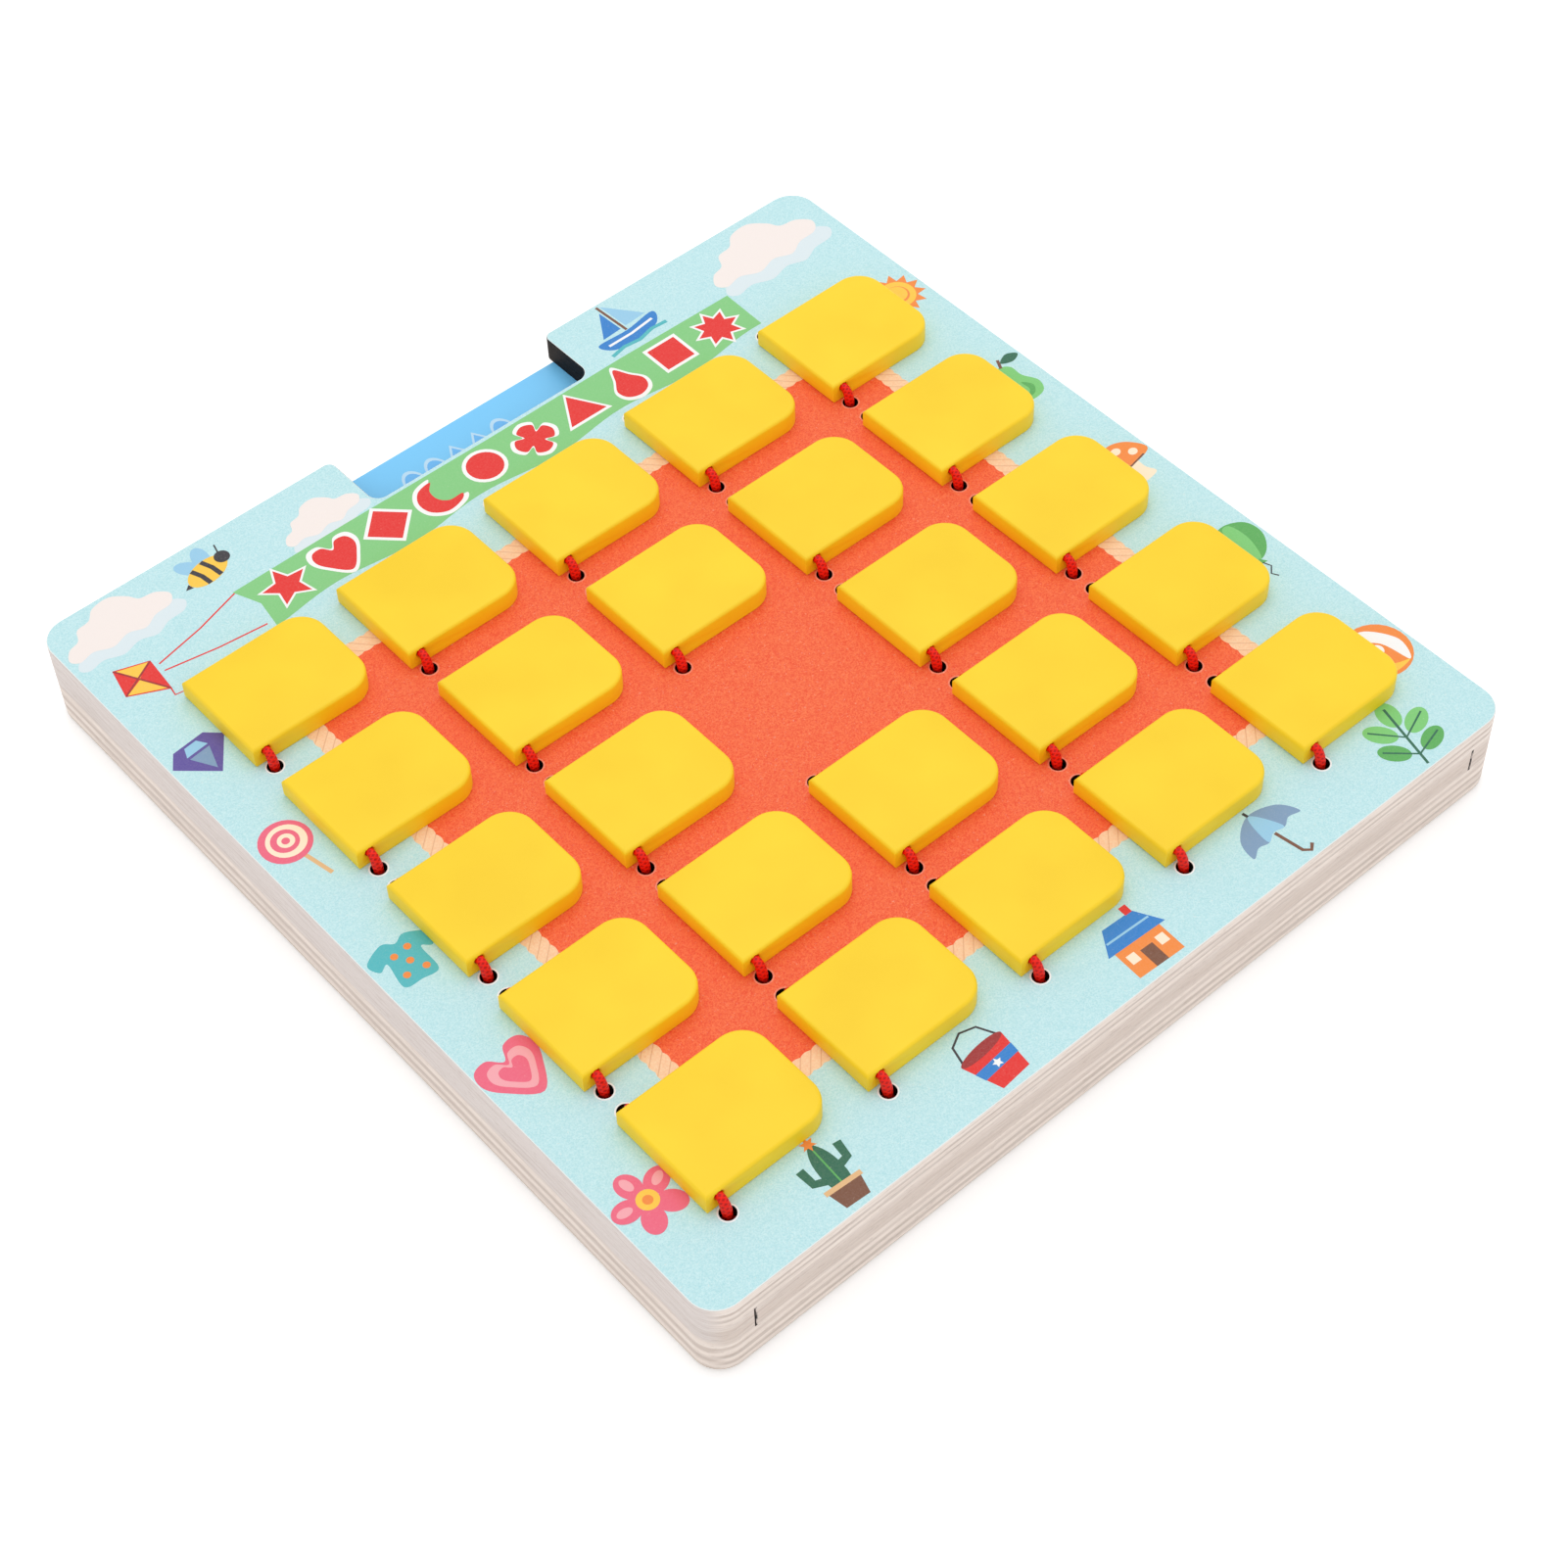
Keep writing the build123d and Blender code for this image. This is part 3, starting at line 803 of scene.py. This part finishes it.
board_half_width, board_half_depth = board_back_right.x / MM, board_back_right.y / MM
board_corner_radius, outer_edge_band = 6.5, 0.6
notch_middle_x, notch_half_width, notch_depth = 0.3, 33.5, 19.5
corner_x = calc(tree, "SUBTRACT", calc(tree, "ABSOLUTE", x), board_half_width - board_corner_radius)
corner_y = calc(tree, "SUBTRACT", calc(tree, "ABSOLUTE", y), board_half_depth - board_corner_radius)
past_corner = away_from(tree, calc(tree, "MAXIMUM", corner_x, 0.0), calc(tree, "MAXIMUM", corner_y, 0.0))
inside = calc(tree, "LESS_THAN", past_corner, board_corner_radius - outer_edge_band)
past_notch = outside_box(tree, x, y, notch_middle_x, board_half_depth, notch_half_width, notch_depth)[0]
cut = calc(tree, "MAXIMUM", inside, calc(tree, "LESS_THAN", past_notch, 0.0))
wall = calc(tree, "MULTIPLY", cut, calc(tree, "SUBTRACT", 1.0, faces_up_or_down(tree)))
charred = spread(tree, grain(tree, place, (0.5, 0.5, 3.0)), 0.4, 0.7)
soot = between(tree, charred, screen_colour(16, 12, 12), screen_colour(44, 32, 26))
on_face = calc(tree, "GREATER_THAN", z, board_height_mm - print_depth)
plate_colour = between(tree, on_face, plywood_colour(tree, place, z), artwork)
feed(tree, shader.inputs["Base Color"], between(tree, wall, plate_colour, soot))
printed_gloss, gloss_lost_in_soot = 0.5, 0.4
gloss = calc(tree, "SUBTRACT", printed_gloss, calc(tree, "MULTIPLY", wall, gloss_lost_in_soot))
feed(tree, shader.inputs["Specular IOR Level"], gloss)
roughen(tree, shader, grain(tree, place, (2.6, 2.6, 2.6), detail=4.0, roughness=0.7), 0.05)
dress("top_plate", printed_plate)


# Pictures on the top plate
# Small printed pictures all round the margin, three clouds, and a green ribbon at the
# back with a row of red shapes on it. All are ink on the face of the top plate.
print_level = board_height_mm - ink_drop
margin_places = {
    "bee": (-71, 104.5, 0.92, 0.25), "sailing_boat": (47, 104.8, 1.0, 0.06),
    "sun": (102.4, 68, 0.86, 0.1), "pear": (101.8, 28, 0.95, -0.2),
    "mushroom": (102.4, -9, 0.86, 0.12), "balloon": (103, -45.5, 1.0, -0.12),
    "beach_ball": (101.6, -85, 0.95, 0.5), "sprig": (88, -104.8, 0.9, -0.25),
    "umbrella": (49, -105, 0.98, 0.15), "house": (9, -105.4, 1.0, -0.04),
    "bucket": (-32, -105.2, 1.0, 0.1), "cactus": (-72, -105, 0.94, -0.06),
    "flower": (-101.8, -86, 0.9, 0.2), "heart": (-102, -47, 0.95, 0.15),
    "shirt": (-101.8, -10, 0.92, -0.1), "lollipop": (-102, 27, 1.0, 0.2),
    "gem": (-102, 61, 0.88, 0.1), "kite": (-99.5, 87, 0.9, 0.5),
}
plate_pictures = []
for name, (at_x, at_y, size, turn) in margin_places.items():
    films = margin_pictures[name]
    plate_pictures.append(draw_picture(f"margin_{name}", films, at_x, at_y, size, turn, print_level))

cloud_shade, cloud_body = screen_colour(222, 235, 240), screen_colour(247, 236, 231)
puff = flowing(
    (-15.5, -3.4), (-13.6, -0.4), (-10.4, 0.8), (-8.6, 4.0), (-4.8, 4.8), (-2.0, 7.6), (3.0, 8.2),
    (6.8, 5.4), (8.6, 2.8), (12.6, 2.0), (15.3, -0.8), (13.4, -3.8), (8.6, -4.4), (4.6, -6.4),
    (0.2, -5.0), (-4.8, -6.4), (-9.4, -4.6), (-13.6, -5.4),
)
cloud = [(cloud_shade, [(1.04 * px + 0.8, 0.9 * py - 4.4) for px, py in puff]), (cloud_body, puff)]
cloud_places = ((-94.6, 105.4, 0.9, 0.0), (-42.8, 101.6, 0.69, 0.03), (89.0, 103.0, 1.06, -0.02))
for number, (at_x, at_y, size, turn) in enumerate(cloud_places, start=1):
    plate_pictures.append(draw_picture(f"cloud_{number}", cloud, at_x, at_y, size, turn, print_level))

ribbon_foot, wave_crest_x = 81.5, -51.95
ribbon_top = [(-70.6, 95.4), (-40, 95.7), (0, 95.4), (40, 95.7), (72.3, 95.3)]
ribbon_bottom = [
    (x, ribbon_foot + math.cos(2 * math.pi * (x - wave_crest_x) / column_pitch))
    for x in range(72, -71, -3)
]
ribbon = ribbon_top + ribbon_bottom + [(-67.8, 88.5)]
shapes_on_ribbon = [
    spiky(0, 0, 7.6, 3.6, 5), heart, regular(0, 0, 7.4, 4), crescent, oval(0, 0, 5.8, 5.8),
    clover, regular(0, -1.0, 7.8, 3), drop, regular(0, 0, 7.4, 4, math.pi / 4), spiky(0, 0, 7.4, 4.4, 8),
]
ribbon_films = [
    (red, stroke(0.4, (-94.4, 88.8), (-82, 91.4), (-70.2, 95.0))),
    (red, stroke(0.4, (-94.6, 86.4), (-82, 84.0), (-70.2, 82.6))),
    (screen_colour(130, 204, 128), ribbon),
]
first_shape_x, shape_pitch, shape_y, shape_sway = -60.4, 13.75, 88.6, 0.4
for number, shape in enumerate(shapes_on_ribbon):
    at_x, at_y = first_shape_x + shape_pitch * number, shape_y + shape_sway * (-1) ** number
    for ink, share in ((white, 0.92), (red, 0.76)):
        ribbon_films.append((ink, [(at_x + px * share, at_y + py * share) for px, py in shape]))
plate_pictures.append(draw_picture("ribbon", ribbon_films, surface_mm=print_level))
for picture in plate_pictures:
    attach(picture, "board")


# Flaps
# Thick slips of wood in smooth yellow paint, rounded along the top edge and at the two
# free corners. Each has a bore along its left end for the cord. One is modelled with
# its hinge at the origin, and the others are copies of it.
flap_width, flap_length, flap_thickness = 32.4, 26.5, 4.9
flap_corner_radius, flap_top_round, hinge_foot_round = 6.5, 0.8, 0.4
hinge_to_flap_edge, hinge_to_flap_top = 3.15, 1.7
hinge_above_board, bore_radius, mouth_flare = 3.3, 1.13, 0.3


def select_edges(piece, wanted):
    """Opens the piece in edit mode with just the edges whose two ends pass the test."""
    select_only(piece)
    mesh = piece.data
    for corner in mesh.vertices:
        corner.select = False
    for face in mesh.polygons:
        face.select = False
    for edge in mesh.edges:
        edge.select = all(wanted(mesh.vertices[end].co / MM) for end in edge.vertices)
    bpy.ops.object.mode_set(mode="EDIT")
    bpy.ops.mesh.select_mode(type="EDGE")


def round_edges(piece, wanted, radius_mm, segments):
    select_edges(piece, wanted)
    bpy.ops.mesh.bevel(offset=radius_mm * MM, segments=segments, profile=0.5, affect="EDGES")
    bpy.ops.object.mode_set(mode="OBJECT")


def at(value, place):
    same_place = 0.01
    return abs(value - place) < same_place


free_edge = flap_width - hinge_to_flap_edge
flap_foot = hinge_to_flap_top - flap_thickness
flap_middle_x = flap_width / 2 - hinge_to_flap_edge
flap_middle_z = hinge_to_flap_top - flap_thickness / 2
bpy.ops.object.select_all(action="DESELECT")
bpy.ops.mesh.primitive_cube_add(
    size=1.0, location=(flap_middle_x * MM, 0, flap_middle_z * MM),
    scale=(flap_width * MM, flap_length * MM, flap_thickness * MM),
)
flap = bpy.context.object
bpy.ops.object.transform_apply(location=True, rotation=True, scale=True)
for side in (-1, 1):
    round_edges(
        flap,
        lambda end: at(end.x, free_edge) and at(end.y, side * flap_length / 2),
        flap_corner_radius, 12,
    )
round_edges(flap, lambda end: at(end.z, hinge_to_flap_top), flap_top_round, 4)
round_edges(
    flap,
    lambda end: at(end.z, flap_foot) and at(end.x, -hinge_to_flap_edge),
    hinge_foot_round, 5,
)
bpy.ops.mesh.primitive_cylinder_add(
    vertices=32, radius=bore_radius * MM, depth=2 * flap_length * MM, rotation=(math.radians(90), 0, 0),
)
drill = bpy.context.object
select_only(flap)
boring = flap.modifiers.new("boring", "BOOLEAN")
boring.operation = "DIFFERENCE"
boring.solver = "EXACT"
boring.object = drill
bpy.ops.object.modifier_apply(modifier="boring")
bpy.data.objects.remove(drill)
round_edges(
    flap,
    lambda end: at(abs(end.y), flap_length / 2) and at(math.hypot(end.x, end.z), bore_radius),
    mouth_flare, 2,
)
bpy.ops.object.shade_smooth_by_angle(angle=math.radians(32))

flap_paint, tree, shader = new_finish("yellow_paint", 0.5)
place, x, y, z = place_in_mm(tree)
clouding = spread(tree, grain(tree, place, (0.05, 0.05, 0.05), detail=2.0), 0.3, 0.7)
paint = between(tree, clouding, screen_colour(250, 208, 6), screen_colour(255, 216, 20))
feed(tree, shader.inputs["Base Color"], paint)
roughen(tree, shader, grain(tree, place, (0.7, 0.7, 0.7), detail=3.0), 0.03)
flap.data.materials.append(flap_paint)


def copy_to_hinges(pattern, node_stem, body_stem):
    """A copy of the pattern, with its own mesh, in the place of each node of that kind."""
    hinge_z = board_height_mm + hinge_above_board
    for row, column, window_x, window_y in window_places():
        hinge_x, hinge_y = window_x - hinge_left_of_window, window_y + hinge_back_of_window
        node_name = f"{node_stem}_row{row}_col{column}"
        mesh = pattern.data.copy()
        mesh.transform(mathutils.Matrix.Translation((hinge_x * MM, hinge_y * MM, hinge_z * MM)))
        piece = bpy.data.objects.new(f"finished_{node_name}", mesh)
        bpy.context.scene.collection.objects.link(piece)
        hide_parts(node_name)
        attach(piece, f"{body_stem}_row{row}_col{column}" if body_stem else "board")
    bpy.data.objects.remove(pattern)


copy_to_hinges(flap, "flap", "flap")


# Hinge cords
# Red braided elastic. Each runs through its flap, bends down at both ends through the
# holes in the top plate, and is knotted in a pocket under the plate. It is drawn tight
# round the back end of the flap and leans from the front end straight to its hole.
cord_radius = 0.98
front_leg, back_leg, knot_middle = -15.6, 14.35, -7.4
knot_half_width, knot_half_height = 2.1, 1.3
turn_radius, turn_thickness, turn_tilt = 1.25, 0.85, 0.45
cord_line = bpy.data.curves.new("hinge_cord_line", "CURVE")
cord_line.dimensions = "3D"
# Places along the flap and up from the hinge, with the share of the cord's thickness there
route = [
    (front_leg, knot_middle, 1.0), (-15.5, -4.6, 1.06), (-15.2, -2.2, 1.2), (-14.35, -0.2, 1.04),
    (-13.2, 0.0, 0.96), (12.2, 0.0, 0.9), (13.6, -0.1, 0.62), (13.97, -1.2, 0.6), (14.2, -4.0, 0.85),
    (back_leg, knot_middle, 1.0),
]
thread = cord_line.splines.new("NURBS")
thread.points.add(len(route) - 1)
for point, (along, height, share) in zip(thread.points, route):
    point.co = (0, along * MM, height * MM, 1)
    point.radius = share
thread.order_u = 3
thread.use_endpoint_u = True
thread.resolution_u = 8
cord_line.bevel_depth = cord_radius * MM
cord_line.bevel_resolution = 4
cord_line.use_fill_caps = True
cord = bpy.data.objects.new("hinge_cord", cord_line)
bpy.context.scene.collection.objects.link(cord)
select_only(cord)
bpy.ops.object.convert(target="MESH")
cord = bpy.context.object
parts = [cord]
for leg in (front_leg, back_leg):
    bpy.ops.object.select_all(action="DESELECT")
    bpy.ops.mesh.primitive_uv_sphere_add(
        segments=16, ring_count=10, radius=1.0, location=(0, leg * MM, knot_middle * MM),
        scale=(knot_half_width * MM, knot_half_width * MM, knot_half_height * MM),
    )
    parts.append(bpy.context.object)
    bpy.ops.object.transform_apply(location=True, rotation=True, scale=True)
    for tilt in (turn_tilt, -turn_tilt):
        bpy.ops.mesh.primitive_torus_add(
            major_segments=18, minor_segments=8, major_radius=turn_radius * MM,
            minor_radius=turn_thickness * MM, location=(0, leg * MM, knot_middle * MM),
            rotation=(tilt, tilt / 2, 0),
        )
        parts.append(bpy.context.object)
        bpy.ops.object.transform_apply(location=True, rotation=True, scale=True)
cord = joined(parts, "hinge_cord")
bpy.ops.object.shade_smooth()

braid, tree, shader = new_finish("red_braid", 0.38)
own_map = add_node(tree, "ShaderNodeTexCoord")
parts_of_map = add_node(tree, "ShaderNodeSeparateXYZ")
tree.links.new(own_map.outputs["UV"], parts_of_map.inputs[0])
along, around = parts_of_map.outputs[0], parts_of_map.outputs[1]
braid_turns, braid_strands = 19.0, 4.0
lean = calc(tree, "MULTIPLY", along, braid_turns)
wrap = calc(tree, "MULTIPLY", around, braid_strands)
first = calc(tree, "SINE", calc(tree, "MULTIPLY", calc(tree, "ADD", lean, wrap), 2 * math.pi))
second = calc(tree, "SINE", calc(tree, "MULTIPLY", calc(tree, "SUBTRACT", lean, wrap), 2 * math.pi))
strands = calc(tree, "MAXIMUM", first, second)
raised = spread(tree, strands, -0.6, 0.9)
shader.inputs["Specular IOR Level"].default_value = 0.25
# The red follows the strand height: darker in the grooves between strands as painted shade, brighter on
# the raised strands as painted highlight.
braid_red_with_groove_shade = between(tree, raised, screen_colour(192, 10, 4), screen_colour(250, 30, 12))
feed(tree, shader.inputs["Base Color"], braid_red_with_groove_shade)
roughen(tree, shader, raised, 0.08)
cord.data.materials.clear()
cord.data.materials.append(braid)
copy_to_hinges(cord, "hinge_cord", "")
